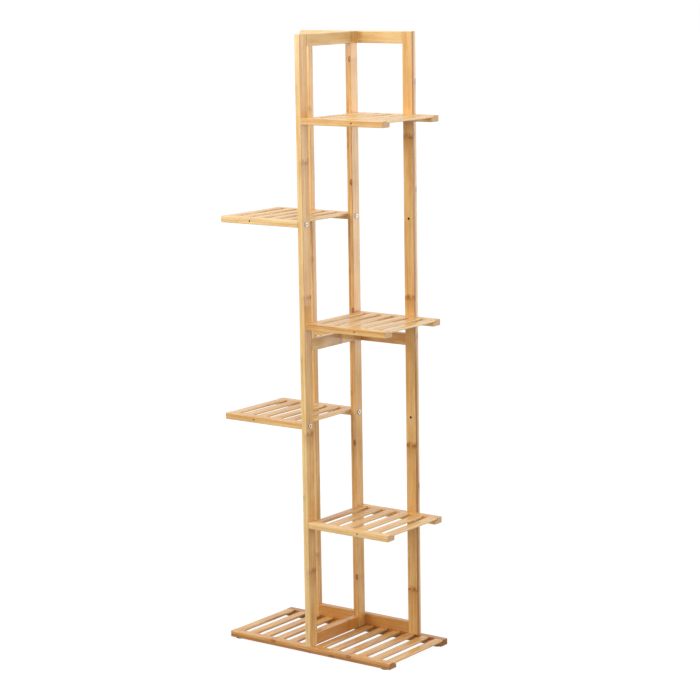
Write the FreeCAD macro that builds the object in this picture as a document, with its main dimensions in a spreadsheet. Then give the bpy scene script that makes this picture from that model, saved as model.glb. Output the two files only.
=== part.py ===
# Tiered plant stand of laminated bamboo: a long slatted base, a T-shaped tower and five slatted
# shelves that branch off it, three to the right and two to the left.
#
# The tower is two ladder frames. The depth frame stands in the middle plane of the stand and runs
# from front to back. The back frame stands square behind it. Every shelf hangs on the depth frame
# by its two rails and leans on one side post of the back frame.
#
# Millimetres. X runs along the base, Y from front to back and Z up. The origin is on the floor,
# under the middle of the base.

import FreeCAD, Part
import math
import os
import re

import Sketcher

# ------------------------------------------------------------------------------------------------
# Driving sizes
# ------------------------------------------------------------------------------------------------

SIZES = [
    ("overall_height", 1250, "floor to the top of the posts"),
    ("base_length", 406, "length of the base rails"),
    ("frame_reach", 190, "front face of the front post to the back face of the back middle post"),
    ("back_overhang", 3, "how far the base reaches behind the back frame"),
    ("side_post_offset", 128, "middle plane to the middle of a side post"),
    ("first_shelf_top", 276, "floor to the top of the lowest shelf"),
    ("above_last_shelf", 162, "top of the highest shelf to the top of the posts"),
    ("shelf_length", 196, "length of the shelf rails"),
    ("middle_rail_rise", 3, "depth frame's middle rail above the level of the back frame's"),
    ("stock_wide", 24, "wide side of the posts and the frame rails"),
    ("stock_thick", 13, "thin side of the posts and the frame rails"),
    ("stock_round", 1.4, "rounding of the long edges of posts and rails"),
    ("end_round", 1, "rounding of the tops of the posts and of the ends of slatted rails"),
    ("rail_wide", 24, "width of the base and shelf rails"),
    ("rail_height", 13, "height of the base and shelf rails"),
    ("land_wide", 15, "top of a rail that stands beside the slat ends"),
    ("slat_wide", 19, "width of a slat"),
    ("slat_thick", 5, "thickness of a slat, and so the depth of the rabbet that it lies in"),
    ("slat_round", 1.8, "rounding of the long edges of the slats"),
    ("slat_end_margin", 1, "end of a rail to the side of its outermost slat"),
    ("slat_end_clearance", 0.25, "play between a slat's end and the rail"),
    ("pad_diameter", 20, "foot pads"),
    ("pad_thick", 2, "thickness of the foot pads"),
    ("pad_end_inset", 17, "end of the base to the middle of a pad"),
    ("screw_head_diameter", 9.5, "flat heads of the connecting screws"),
    ("screw_head_thick", 1.6, "thickness of those heads"),
    ("screw_head_round", 0.6, "rounding of the rims of those heads"),
    ("socket_flats", 3.5, "hexagon socket, across its flats"),
    ("socket_depth", 2.4, "depth of that socket"),
    ("shank_diameter", 4.6, "plain part of the screws"),
    ("core_diameter", 3.2, "core of the threaded part of the screws"),
    ("long_screw_length", 45, "shelf and base screws, under the head"),
    ("short_screw_length", 25, "screws through the thin side of the stock, under the head"),
    ("shank_clearance", 0.2, "play round a shank in its hole"),
    ("pilot_clearance", 0.1, "play round a core in its pilot hole"),
    ("pilot_end_gap", 0.5, "pilot hole past the tip of its screw"),
    ("base_screw_inset", 8, "outer face of a post to the screw that comes up into its foot"),
    ("dowel_diameter", 6, "dowels in the joints of the two frames"),
    ("dowel_pitch", 12, "distance between the two dowels of a joint"),
    ("dowel_in_post", 10, "how deep a dowel goes into a post"),
    ("dowel_in_rail", 20, "how deep a dowel goes into a rail"),
    ("dowel_clearance", 0.1, "glue gap round a dowel and at its ends"),
    ("brad_diameter", 1.2, "brads that hold the slats from below"),
    ("brad_bite", 3, "how deep a brad goes into a slat"),
    ("brad_clearance", 0.05, "play round a brad and over its tip"),
]

SHELF_SIDES = ["right", "left", "right", "left", "right"]
SLATS_PER_SHELF = 6
SLATS_IN_BASE = 12

# ------------------------------------------------------------------------------------------------
# Sizes and places that follow from them
# ------------------------------------------------------------------------------------------------

# Places from front to back: the front of the stand, the back of the depth frame, which the back
# frame lies against, and the middle and the back face of the back frame.
BASE_DEPTH = "(frame_reach + stock_thick + back_overhang)"
FRONT = f"(-{BASE_DEPTH} / 2)"
FRAME_BACK = f"({FRONT} + frame_reach)"
BACK_FRAME_MIDDLE = f"({FRAME_BACK} + stock_thick / 2)"
BACK_FACE = f"({FRAME_BACK} + stock_thick)"

BASE_TOP = "(pad_thick + rail_height)"
POST_HEIGHT = f"(overall_height - {BASE_TOP})"
POST_MIDDLE = "(stock_thick / 2)"
BETWEEN_DEPTH_POSTS = "(frame_reach - 2 * stock_wide)"
BETWEEN_SIDE_POSTS = "(2 * side_post_offset - stock_wide)"
LEDGE = "(rail_height - slat_thick)"

# The three rails of each frame, by the height of their undersides above the feet of the posts.
HALFWAY = f"(({POST_HEIGHT} - stock_wide) / 2)"
BACK_RAILS = [
    ("bottom", "(0)"),
    ("middle", HALFWAY),
    ("top", f"({POST_HEIGHT} - stock_wide)"),
]
DEPTH_RAILS = [
    ("bottom", "(0)"),
    ("middle", f"({HALFWAY} + middle_rail_rise)"),
    ("top", f"({POST_HEIGHT} - stock_wide)"),
]

SHANK_HOLE = "(shank_diameter + 2 * shank_clearance)"
PILOT_HOLE = "(core_diameter + 2 * pilot_clearance)"
DOWEL_HOLE = "(dowel_diameter + 2 * dowel_clearance)"
BRAD_HOLE = "(brad_diameter + 2 * brad_clearance)"
SHORT_PILOT_DEPTH = "(short_screw_length - stock_thick + pilot_end_gap)"
SHELF_PILOT_DEPTH = "(long_screw_length - stock_thick + pilot_end_gap)"
FOOT_PILOT_DEPTH = "(long_screw_length - rail_height + pilot_end_gap)"

# How far an open cut is drawn past the piece that it cuts.
PAST = "(slat_thick / 2)"

# Where the brads are, measured from the outer face of a rail and from the end of a slat.
BRAD_ROW = "((land_wide + rail_wide) / 2)"
BRAD_FROM_SLAT_END = f"({BRAD_ROW} - land_wide - slat_end_clearance)"


def shelf_top(index):
    """Height of a shelf's top above the floor. The shelves are evenly spread."""
    step = f"((overall_height - first_shelf_top - above_last_shelf) / {len(SHELF_SIDES) - 1})"
    return f"(first_shelf_top + {index} * {step})"


def shelf_screw_height(index):
    """Height of the middle of a shelf's rails above the floor."""
    return f"({shelf_top(index)} - rail_height / 2)"


def slat_start(index, count, length):
    """Distance from the end of a rail to the near side of one of its slats."""
    pitch = f"(({length} - 2 * slat_end_margin - slat_wide) / {count - 1})"
    return f"(slat_end_margin + {index} * {pitch})"


def slat_middles(count, length, from_high_end):
    """Distances from the low end of a rail to the middle lines of all its slats."""
    middles = [f"({slat_start(index, count, length)} + slat_wide / 2)" for index in range(count)]
    if from_high_end:
        middles = [f"({length} - {middle})" for middle in middles]
    return middles


# ------------------------------------------------------------------------------------------------
# The document and its sheet of sizes
# ------------------------------------------------------------------------------------------------

doc = FreeCAD.newDocument("PlantStand")
sheet = doc.addObject("Spreadsheet::Sheet", "Sizes")
for row, (alias, value, meaning) in enumerate(SIZES, start=1):
    sheet.set(f"A{row}", meaning)
    sheet.set(f"B{row}", str(value))
    sheet.setAlias(f"B{row}", alias)
doc.recompute()

nodes = {}
extents = {}


def linked(expression):
    """Make each named size in an expression refer to the sheet."""
    return re.sub(r"[a-z_]+", lambda word: "Sizes." + word.group(), expression)


def measure(expression):
    """The present value of an expression, for the first guess of a sketch."""
    return float(sheet.evalExpression(linked(expression)))


def place(item, position):
    """Tie an object's position to three expressions."""
    for letter, expression in zip("xyz", position):
        item.setExpression(f"Placement.Base.{letter}", linked(expression))


# ------------------------------------------------------------------------------------------------
# Sketches
# ------------------------------------------------------------------------------------------------

# For each face of a piece whose lowest corner is at its origin: the plane that its sketch is parallel
# to, the axis that the face looks along (X, Y and Z are 0, 1 and 2), which way along the sketch's
# normal the sketch is moved by the piece's size (0 for not at all), and whether a pocket has to be
# turned round to cut inwards.
FACES = {
    "-X": ("YZ_Plane", 0, 0, True),
    "+X": ("YZ_Plane", 0, 1, False),
    "-Y": ("XZ_Plane", 1, 0, False),
    "+Y": ("XZ_Plane", 1, -1, True),
    "-Z": ("XY_Plane", 2, 0, True),
    "+Z": ("XY_Plane", 2, 1, False),
}

# How a sketch numbers the points of a line or an arc, and its own two axes.
START, END, CENTRE = range(1, 4)
HORIZONTAL_AXIS, VERTICAL_AXIS = (-number for number in range(1, 3))
ORIGIN_POINT = (HORIZONTAL_AXIS, START)


def new_sketch(body, name, plane_role):
    """An empty sketch on one of the body's origin planes."""
    sketch = body.newObject("Sketcher::SketchObject", name)
    planes = body.Origin.OriginFeatures
    plane = next(feature for feature in planes if feature.Role == plane_role)
    sketch.AttachmentSupport = [(plane, "")]
    sketch.MapMode = "FlatFace"
    return sketch


def face_sketch(body, name, face):
    """An empty sketch on one of the six faces of a stick."""
    plane_role, axis, sign, _ = FACES[face]
    sketch = new_sketch(body, name, plane_role)
    if sign:
        distance = f"{sign} * {extents[body.Name][axis]}"
        sketch.setExpression("AttachmentOffset.Base.z", linked(distance))
    return sketch


def add_dimensions(sketch, dimensions):
    """Add driving constraints, each a kind, its places, a name and the expression that drives it."""
    constraints = []
    for kind, places, name, expression in dimensions:
        constraint = Sketcher.Constraint(kind, *places, measure(expression))
        constraint.Name = name
        constraints.append(constraint)
    sketch.addConstraint(constraints)
    for _, _, name, expression in dimensions:
        sketch.setExpression(f"Constraints.{name}", linked(expression))


def draw_rounded_rectangle(sketch, width, height, corner):
    """A rectangle with rounded corners, its lower left corner at the sketch's origin."""
    w = measure(width)
    h = measure(height)
    r = measure(corner)
    quarter = math.pi / 2
    sides = [((r, 0), (w - r, 0)), ((w, r), (w, h - r)), ((w - r, h), (r, h)), ((0, h - r), (0, r))]
    centres = [(w - r, r), (w - r, h - r), (r, h - r), (r, r)]
    for start, end in sides:
        line = Part.LineSegment(FreeCAD.Vector(*start, 0), FreeCAD.Vector(*end, 0))
        sketch.addGeometry(line, False)
    for index, centre in enumerate(centres):
        circle = Part.Circle(FreeCAD.Vector(*centre, 0), FreeCAD.Vector(0, 0, 1), r)
        first_angle = (index - 1) * quarter
        sketch.addGeometry(Part.ArcOfCircle(circle, first_angle, first_angle + quarter), False)
    bottom, right, top, left = range(4)
    first_arc = 4
    for index in range(4):
        arc = first_arc + index
        next_side = (index + 1) % 4
        sketch.addConstraint(Sketcher.Constraint("Tangent", index, END, arc, START))
        sketch.addConstraint(Sketcher.Constraint("Tangent", arc, END, next_side, START))
    for index in range(3):
        equal = Sketcher.Constraint("Equal", first_arc + index, first_arc + index + 1)
        sketch.addConstraint(equal)
    for side in (bottom, top):
        sketch.addConstraint(Sketcher.Constraint("Horizontal", side))
    for side in (right, left):
        sketch.addConstraint(Sketcher.Constraint("Vertical", side))
    sketch.addConstraint(Sketcher.Constraint("PointOnObject", left, START, VERTICAL_AXIS))
    sketch.addConstraint(Sketcher.Constraint("PointOnObject", bottom, START, HORIZONTAL_AXIS))
    add_dimensions(sketch, [
        ("Radius", (first_arc,), "corner", corner),
        ("DistanceX", (*ORIGIN_POINT, right, START), "width", width),
        ("DistanceY", (*ORIGIN_POINT, top, START), "height", height),
    ])


def draw_rectangle(sketch, low, high):
    """A rectangle between two opposite corners, each given by two expressions."""
    x0, y0 = (measure(expression) for expression in low)
    x1, y1 = (measure(expression) for expression in high)
    corners = [(x0, y0), (x1, y0), (x1, y1), (x0, y1)]
    for index in range(4):
        start = FreeCAD.Vector(*corners[index], 0)
        end = FreeCAD.Vector(*corners[(index + 1) % 4], 0)
        sketch.addGeometry(Part.LineSegment(start, end), False)
    for index in range(4):
        next_side = (index + 1) % 4
        sketch.addConstraint(Sketcher.Constraint("Coincident", index, END, next_side, START))
        direction = "Vertical" if index % 2 else "Horizontal"
        sketch.addConstraint(Sketcher.Constraint(direction, index))
    add_dimensions(sketch, [
        ("DistanceX", (*ORIGIN_POINT, 0, START), "low_x", low[0]),
        ("DistanceY", (*ORIGIN_POINT, 0, START), "low_y", low[1]),
        ("DistanceX", (*ORIGIN_POINT, 2, START), "high_x", high[0]),
        ("DistanceY", (*ORIGIN_POINT, 2, START), "high_y", high[1]),
    ])


def draw_circles(sketch, centres, diameter):
    """Equal circles, each centre given by two expressions in the sketch's own directions."""
    radius = measure(diameter) / 2
    dimensions = []
    for index, (across, along) in enumerate(centres):
        centre = FreeCAD.Vector(measure(across), measure(along), 0)
        sketch.addGeometry(Part.Circle(centre, FreeCAD.Vector(0, 0, 1), radius), False)
        from_origin = (*ORIGIN_POINT, index, CENTRE)
        dimensions.append(("DistanceX", from_origin, f"across_{index}", across))
        dimensions.append(("DistanceY", from_origin, f"along_{index}", along))
        dimensions.append(("Diameter", (index,), f"diameter_{index}", diameter))
    add_dimensions(sketch, dimensions)


def draw_hexagon(sketch, flats):
    """A regular hexagon round the sketch's origin, two of its sides upright."""
    radius = measure(flats) / math.sqrt(3)
    corners = []
    for index in range(6):
        angle = math.radians(60 * index - 30)
        corners.append(FreeCAD.Vector(radius * math.cos(angle), radius * math.sin(angle), 0))
    for index in range(6):
        sketch.addGeometry(Part.LineSegment(corners[index], corners[(index + 1) % 6]), False)
    circle = Part.Circle(FreeCAD.Vector(0, 0, 0), FreeCAD.Vector(0, 0, 1), radius)
    round_corners = sketch.addGeometry(circle, True)
    sketch.addConstraint(
        Sketcher.Constraint("Coincident", round_corners, CENTRE, *ORIGIN_POINT))
    for index in range(6):
        next_side = (index + 1) % 6
        sketch.addConstraint(Sketcher.Constraint("Coincident", index, END, next_side, START))
        sketch.addConstraint(
            Sketcher.Constraint("PointOnObject", index, START, round_corners))
    for index in range(5):
        sketch.addConstraint(Sketcher.Constraint("Equal", index, index + 1))
    sketch.addConstraint(Sketcher.Constraint("Vertical", 0))
    across = (*ORIGIN_POINT, 0, START)
    add_dimensions(sketch, [("DistanceX", across, "half_flats", f"{flats} / 2")])


# ------------------------------------------------------------------------------------------------
# Features that the pieces are made with
# ------------------------------------------------------------------------------------------------


def pad(body, name, sketch, length, turned=False):
    """Extrude a sketch by a length."""
    feature = body.newObject("PartDesign::Pad", name)
    feature.Profile = sketch
    feature.Reversed = turned
    feature.setExpression("Length", linked(length))
    return feature


def pocket(body, name, sketch, length=None, turned=False):
    """Cut a sketch into the piece by a length, or right through it."""
    feature = body.newObject("PartDesign::Pocket", name)
    feature.Profile = sketch
    feature.Reversed = turned
    if length is None:
        feature.Type = "ThroughAll"
    else:
        feature.setExpression("Length", linked(length))
    return feature


def stick(name, axis, size, position, rounding="stock_round"):
    """A bar along an axis with rounded long edges, its lowest corner at a position."""
    body = doc.addObject("PartDesign::Body", name)
    body.Label = name
    extents[body.Name] = size
    plane_role = FACES["-" + axis][0]
    across = {"X": (1, 2), "Y": (0, 2), "Z": (0, 1)}[axis]
    section = new_sketch(body, name + "_section", plane_role)
    draw_rounded_rectangle(section, size[across[0]], size[across[1]], rounding)
    pad(body, name + "_bar", section, size["XYZ".index(axis)], turned=(axis == "Y"))
    place(body, position)
    return body


def soften_end(body, face):
    """Round the edges of one end of a stick, which is still a plain bar."""
    axis = FACES[face][1]
    level = measure(extents[body.Name][axis]) if face[0] == "+" else 0
    bar = body.Tip
    bar.recompute(True)
    rim = []
    for number, edge in enumerate(bar.Shape.Edges, start=1):
        if all(abs(vertex.Point[axis] - level) < 1e-6 for vertex in edge.Vertexes):
            rim.append(f"Edge{number}")
    end = {"-": "low", "+": "high"}[face[0]]
    fillet = body.newObject("PartDesign::Fillet", f"{body.Name}_{end}_end")
    fillet.Base = (bar, rim)
    fillet.setExpression("Radius", linked("end_round"))


def drill(body, name, face, centres, diameter, depth=None):
    """Holes of one diameter from one face, to a depth or right through."""
    sketch = face_sketch(body, f"{body.Name}_{name}_centres", face)
    draw_circles(sketch, centres, diameter)
    pocket(body, f"{body.Name}_{name}", sketch, depth, turned=FACES[face][3])


def keep(body):
    """Count a finished body as a node."""
    nodes[body.Label] = body


def group(name, members):
    """Separate solids that share one node."""
    compound = doc.addObject("Part::Compound", name)
    compound.Label = name
    compound.Links = members
    nodes[name] = compound


# ------------------------------------------------------------------------------------------------
# Hole positions that two or more pieces share
# ------------------------------------------------------------------------------------------------


def dowel_heights(rail_underside):
    """Heights of the two dowels of a frame joint, on the scale of the rail's underside."""
    middle = f"({rail_underside} + stock_wide / 2)"
    return [f"({middle} - dowel_pitch / 2)", f"({middle} + dowel_pitch / 2)"]


def post_dowel_holes(rails, across):
    """Centres of all dowel holes on the face of a post that the rails of a frame butt against."""
    return [(across, height) for _, underside in rails for height in dowel_heights(underside)]


def post_shelf_holes(across):
    """Centres of the screw holes at the heights of all shelves, from a post's foot."""
    heights = [f"({shelf_screw_height(index)} - {BASE_TOP})" for index in range(len(SHELF_SIDES))]
    return [(across, height) for height in heights]


DOWEL_POST_DEPTH = "(dowel_in_post + dowel_clearance)"
DOWEL_RAIL_DEPTH = "(dowel_in_rail + dowel_clearance)"

# ------------------------------------------------------------------------------------------------
# Posts
# ------------------------------------------------------------------------------------------------

depth_post_size = ("stock_thick", "stock_wide", POST_HEIGHT)
side_post_size = ("stock_wide", "stock_thick", POST_HEIGHT)


def front_mid_post():
    """The post at the front of the depth frame, which stands on the front base rail."""
    post = stick("front_mid_post", "Z", depth_post_size, (f"-{POST_MIDDLE}", FRONT, BASE_TOP))
    soften_end(post, "+Z")
    drill(post, "shelf_screw_holes", "-X", post_shelf_holes("stock_wide / 2"), SHANK_HOLE)
    dowels = post_dowel_holes(DEPTH_RAILS, POST_MIDDLE)
    drill(post, "dowel_holes", "+Y", dowels, DOWEL_HOLE, DOWEL_POST_DEPTH)
    foot = [(POST_MIDDLE, "base_screw_inset")]
    drill(post, "foot_hole", "-Z", foot, PILOT_HOLE, FOOT_PILOT_DEPTH)
    keep(post)


def back_mid_post():
    """The post at the back of the depth frame, which the back frame is screwed to."""
    corner = (f"-{POST_MIDDLE}", f"({FRAME_BACK} - stock_wide)", BASE_TOP)
    post = stick("back_mid_post", "Z", depth_post_size, corner)
    soften_end(post, "+Z")
    drill(post, "shelf_screw_holes", "-X", post_shelf_holes("stock_wide / 2"), SHANK_HOLE)
    dowels = post_dowel_holes(DEPTH_RAILS, POST_MIDDLE)
    drill(post, "dowel_holes", "-Y", dowels, DOWEL_HOLE, DOWEL_POST_DEPTH)
    joints = [(POST_MIDDLE, f"({underside} + stock_wide / 2)") for _, underside in BACK_RAILS]
    drill(post, "joining_holes", "+Y", joints, PILOT_HOLE, SHORT_PILOT_DEPTH)
    keep(post)


def side_post(side):
    """A post of the back frame. It has a hole for every shelf, also for those on the other side."""
    sign, inner_face = (1, "-X") if side == "right" else (-1, "+X")
    low_x = f"({sign} * side_post_offset - stock_wide / 2)"
    post = stick(f"back_{side}_post", "Z", side_post_size, (low_x, FRAME_BACK, BASE_TOP))
    soften_end(post, "+Z")
    drill(post, "shelf_screw_holes", "-Y", post_shelf_holes("stock_wide / 2"), SHANK_HOLE)
    dowels = post_dowel_holes(BACK_RAILS, POST_MIDDLE)
    drill(post, "dowel_holes", inner_face, dowels, DOWEL_HOLE, DOWEL_POST_DEPTH)
    inset = "(stock_wide - base_screw_inset)" if side == "right" else "base_screw_inset"
    drill(post, "foot_hole", "-Z", [(inset, POST_MIDDLE)], PILOT_HOLE, FOOT_PILOT_DEPTH)
    keep(post)


front_mid_post()
back_mid_post()
side_post("left")
side_post("right")

# ------------------------------------------------------------------------------------------------
# Rails of the two frames
# ------------------------------------------------------------------------------------------------


def depth_frame_rail(level, underside):
    """A rail between the front and the back middle post."""
    corner = (f"-{POST_MIDDLE}", f"({FRONT} + stock_wide)", f"({BASE_TOP} + {underside})")
    size = ("stock_thick", BETWEEN_DEPTH_POSTS, "stock_wide")
    rail = stick(f"depth_frame_{level}_rail", "Y", size, corner)
    dowels = [(POST_MIDDLE, height) for height in dowel_heights("0")]
    drill(rail, "front_dowel_holes", "-Y", dowels, DOWEL_HOLE, DOWEL_RAIL_DEPTH)
    drill(rail, "back_dowel_holes", "+Y", dowels, DOWEL_HOLE, DOWEL_RAIL_DEPTH)
    keep(rail)


def back_frame_rail(level, underside):
    """A rail between the side posts, which passes behind the back middle post."""
    corner = (f"(-{BETWEEN_SIDE_POSTS} / 2)", FRAME_BACK, f"({BASE_TOP} + {underside})")
    size = (BETWEEN_SIDE_POSTS, "stock_thick", "stock_wide")
    rail = stick(f"back_frame_{level}_rail", "X", size, corner)
    dowels = [(POST_MIDDLE, height) for height in dowel_heights("0")]
    drill(rail, "left_dowel_holes", "-X", dowels, DOWEL_HOLE, DOWEL_RAIL_DEPTH)
    drill(rail, "right_dowel_holes", "+X", dowels, DOWEL_HOLE, DOWEL_RAIL_DEPTH)
    middle = [(f"({BETWEEN_SIDE_POSTS} / 2)", "stock_wide / 2")]
    drill(rail, "joining_hole", "-Y", middle, SHANK_HOLE)
    keep(rail)


for level, underside in DEPTH_RAILS:
    depth_frame_rail(level, underside)
for level, underside in BACK_RAILS:
    back_frame_rail(level, underside)

# ------------------------------------------------------------------------------------------------
# Rails that carry slats
# ------------------------------------------------------------------------------------------------


def slatted_rail(name, length, corner, outer_face, slat_count, from_high_end=False):
    """A rail with a rabbet for the slat ends along the inner edge of its top."""
    rail = stick(name, "X", (length, "rail_wide", "rail_height"), corner)
    soften_end(rail, "-X")
    soften_end(rail, "+X")
    section = new_sketch(rail, name + "_rabbet_section", "YZ_Plane")
    above = f"rail_height + {PAST}"
    if outer_face == "-Y":
        draw_rectangle(section, ("land_wide", LEDGE), (f"rail_wide + {PAST}", above))
        row = BRAD_ROW
    else:
        draw_rectangle(section, (f"-{PAST}", LEDGE), ("rail_wide - land_wide", above))
        row = f"(rail_wide - {BRAD_ROW})"
    pocket(rail, name + "_rabbet", section, turned=True)
    brads = [(along, row) for along in slat_middles(slat_count, length, from_high_end)]
    drill(rail, "brad_holes", "-Z", brads, BRAD_HOLE)
    return rail


def slat(name, length, corner):
    """A slat that lies from front to back in the rabbets of two rails."""
    strip = stick(name, "Y", ("slat_wide", length, "slat_thick"), corner, "slat_round")
    middle = "slat_wide / 2"
    brads = [(middle, BRAD_FROM_SLAT_END), (middle, f"({length} - {BRAD_FROM_SLAT_END})")]
    drill(strip, "brad_holes", "-Z", brads, BRAD_HOLE, "(brad_bite + brad_clearance)")
    return strip


# ------------------------------------------------------------------------------------------------
# Base
# ------------------------------------------------------------------------------------------------

BASE_LEFT = "(-base_length / 2)"
BASE_BACK_RAIL_FRONT = f"(-{FRONT} - rail_wide)"
SIDE_FOOT_SCREW = "(side_post_offset + stock_wide / 2 - base_screw_inset)"


def base_rail(side, low_y, outer_face, screws):
    """A rail of the base, with the holes for the screws that hold the posts' feet."""
    corner = (BASE_LEFT, low_y, "pad_thick")
    rail = slatted_rail(f"base_{side}_rail", "base_length", corner, outer_face, SLATS_IN_BASE)
    drill(rail, "foot_screw_holes", "-Z", screws, SHANK_HOLE)
    keep(rail)


def base_slats():
    """The slats of the base, side by side in one node. The middle gap lies under the tower."""
    length = f"({BASE_DEPTH} - 2 * land_wide - 2 * slat_end_clearance)"
    low_y = f"({FRONT} + land_wide + slat_end_clearance)"
    low_z = f"(pad_thick + {LEDGE})"
    strips = []
    for index in range(SLATS_IN_BASE):
        low_x = f"({BASE_LEFT} + {slat_start(index, SLATS_IN_BASE, 'base_length')})"
        strips.append(slat(f"base_slat_{index + 1}", length, (low_x, low_y, low_z)))
    group("base_slats", strips)


BASE_MIDDLE = "(base_length / 2)"
back_row = f"({BACK_FRAME_MIDDLE} - {BASE_BACK_RAIL_FRONT})"
back_screws = [(f"({BASE_MIDDLE} {sign} {SIDE_FOOT_SCREW})", back_row) for sign in "-+"]
base_rail("front", FRONT, "-Y", [(BASE_MIDDLE, "base_screw_inset")])
base_rail("back", BASE_BACK_RAIL_FRONT, "+Y", back_screws)
base_slats()

# ------------------------------------------------------------------------------------------------
# Shelves
# ------------------------------------------------------------------------------------------------

SHELF_SLAT_LENGTH = "(frame_reach - 2 * land_wide - 2 * slat_end_clearance)"
SIDE_PILOT = f"(side_post_offset - {POST_MIDDLE})"


def shelf_rail(number, side, row, underside):
    """A rail of a shelf. Its inner end butts a middle post; a pilot hole faces the side posts."""
    right = side == "right"
    low_x = POST_MIDDLE if right else f"(-{POST_MIDDLE} - shelf_length)"
    low_y = FRONT if row == "front" else f"({FRAME_BACK} - rail_wide)"
    outer_face = "-Y" if row == "front" else "+Y"
    corner = (low_x, low_y, underside)
    rail = slatted_rail(f"shelf_{number}_{row}_rail", "shelf_length", corner, outer_face,
                        SLATS_PER_SHELF, from_high_end=not right)
    middle = "rail_height / 2"
    end_hole = [("stock_wide / 2" if row == "front" else "rail_wide - stock_wide / 2", middle)]
    drill(rail, "end_pilot", "-X" if right else "+X", end_hole, PILOT_HOLE, SHELF_PILOT_DEPTH)
    along = SIDE_PILOT if right else f"(shelf_length - {SIDE_PILOT})"
    drill(rail, "side_pilot", outer_face, [(along, middle)], PILOT_HOLE, SHORT_PILOT_DEPTH)
    keep(rail)


def shelf_slats(number, side, underside):
    """The slats of a shelf, counted from the tower outwards."""
    low_y = f"({FRONT} + land_wide + slat_end_clearance)"
    low_z = f"({underside} + {LEDGE})"
    for index in range(SLATS_PER_SHELF):
        reach = f"({POST_MIDDLE} + {slat_start(index, SLATS_PER_SHELF, 'shelf_length')})"
        low_x = reach if side == "right" else f"(-{reach} - slat_wide)"
        keep(slat(f"shelf_{number}_slat_{index + 1}", SHELF_SLAT_LENGTH, (low_x, low_y, low_z)))


for index, side in enumerate(SHELF_SIDES):
    underside = f"({shelf_top(index)} - rail_height)"
    for row in ("front", "back"):
        shelf_rail(index + 1, side, row, underside)
    shelf_slats(index + 1, side, underside)

# ------------------------------------------------------------------------------------------------
# Foot pads
# ------------------------------------------------------------------------------------------------


def foot_pads():
    """Round pads under the ends of the base rails."""
    pads = []
    for across in "-+":
        for along in "-+":
            disc = doc.addObject("Part::Cylinder", "foot_pad")
            disc.setExpression("Radius", linked("pad_diameter / 2"))
            disc.setExpression("Height", linked("pad_thick"))
            middle_x = f"0 {across} (base_length / 2 - pad_end_inset)"
            middle_y = f"0 {along} (-{FRONT} - rail_wide / 2)"
            place(disc, (middle_x, middle_y, "0"))
            pads.append(disc)
    group("foot_pads", pads)


foot_pads()

# ------------------------------------------------------------------------------------------------
# Connecting screws
# ------------------------------------------------------------------------------------------------


def screw_pattern(name, length, shank_length):
    """One connecting screw, its head above the XY plane and its shank below. Threads are plain."""
    body = doc.addObject("PartDesign::Body", name)
    head_circle = new_sketch(body, name + "_head_circle", "XY_Plane")
    draw_circles(head_circle, [("0", "0")], "screw_head_diameter")
    head = pad(body, name + "_head", head_circle, "screw_head_thick")
    head.recompute(True)
    rim = []
    for number, edge in enumerate(head.Shape.Edges, start=1):
        if edge.Closed and edge.CenterOfMass.z > measure("screw_head_thick") / 2:
            rim.append(f"Edge{number}")
    fillet = body.newObject("PartDesign::Fillet", name + "_rim")
    fillet.Base = (head, rim)
    fillet.setExpression("Radius", linked("screw_head_round"))
    shank_circle = new_sketch(body, name + "_shank_circle", "XY_Plane")
    draw_circles(shank_circle, [("0", "0")], "shank_diameter")
    pad(body, name + "_shank", shank_circle, shank_length, turned=True)
    core_circle = new_sketch(body, name + "_core_circle", "XY_Plane")
    draw_circles(core_circle, [("0", "0")], "core_diameter")
    pad(body, name + "_core", core_circle, length, turned=True)
    socket = new_sketch(body, name + "_socket_section", "XY_Plane")
    socket.setExpression("AttachmentOffset.Base.z", linked("screw_head_thick"))
    draw_hexagon(socket, "socket_flats")
    pocket(body, name + "_socket", socket, "socket_depth")
    return body


def drive(pattern, heads):
    """Copies of a screw, each by the middle of its head's seat and the way its head points."""
    copies = []
    for position, outward in heads:
        copy = doc.addObject("App::Link", pattern.Name + "_copy")
        copy.LinkedObject = pattern
        turn = FreeCAD.Rotation(FreeCAD.Vector(0, 0, 1), FreeCAD.Vector(*outward))
        copy.Placement = FreeCAD.Placement(FreeCAD.Vector(0, 0, 0), turn)
        place(copy, position)
        copies.append(copy)
    return copies


def shelf_screws():
    """Two screws for each shelf, through the middle posts into the ends of its rails."""
    heads = []
    for index, side in enumerate(SHELF_SIDES):
        sign = -1 if side == "right" else 1
        for middle_y in (f"({FRONT} + stock_wide / 2)", f"({FRAME_BACK} - stock_wide / 2)"):
            seat = (f"{sign} * {POST_MIDDLE}", middle_y, shelf_screw_height(index))
            heads.append((seat, (sign, 0, 0)))
    group("shelf_screws", drive(shelf_screw, heads))


def side_post_screws():
    """One screw for each shelf, through a side post into the shelf's back rail."""
    heads = []
    for index, side in enumerate(SHELF_SIDES):
        sign = 1 if side == "right" else -1
        seat = (f"{sign} * side_post_offset", BACK_FACE, shelf_screw_height(index))
        heads.append((seat, (0, 1, 0)))
    group("side_post_screws", drive(short_screw, heads))


def frame_joining_screws():
    """One screw through each rail of the back frame into the back middle post."""
    heads = []
    for _, underside in BACK_RAILS:
        height = f"({BASE_TOP} + {underside} + stock_wide / 2)"
        heads.append((("0", BACK_FACE, height), (0, 1, 0)))
    group("frame_joining_screws", drive(short_screw, heads))


def base_screws():
    """Screws from below through the base rails into the feet of three posts."""
    seats = [("0", f"({FRONT} + base_screw_inset)", "pad_thick")]
    for sign in "-+":
        seats.append((f"0 {sign} {SIDE_FOOT_SCREW}", BACK_FRAME_MIDDLE, "pad_thick"))
    group("base_screws", drive(base_screw, [(seat, (0, 0, -1)) for seat in seats]))


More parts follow.
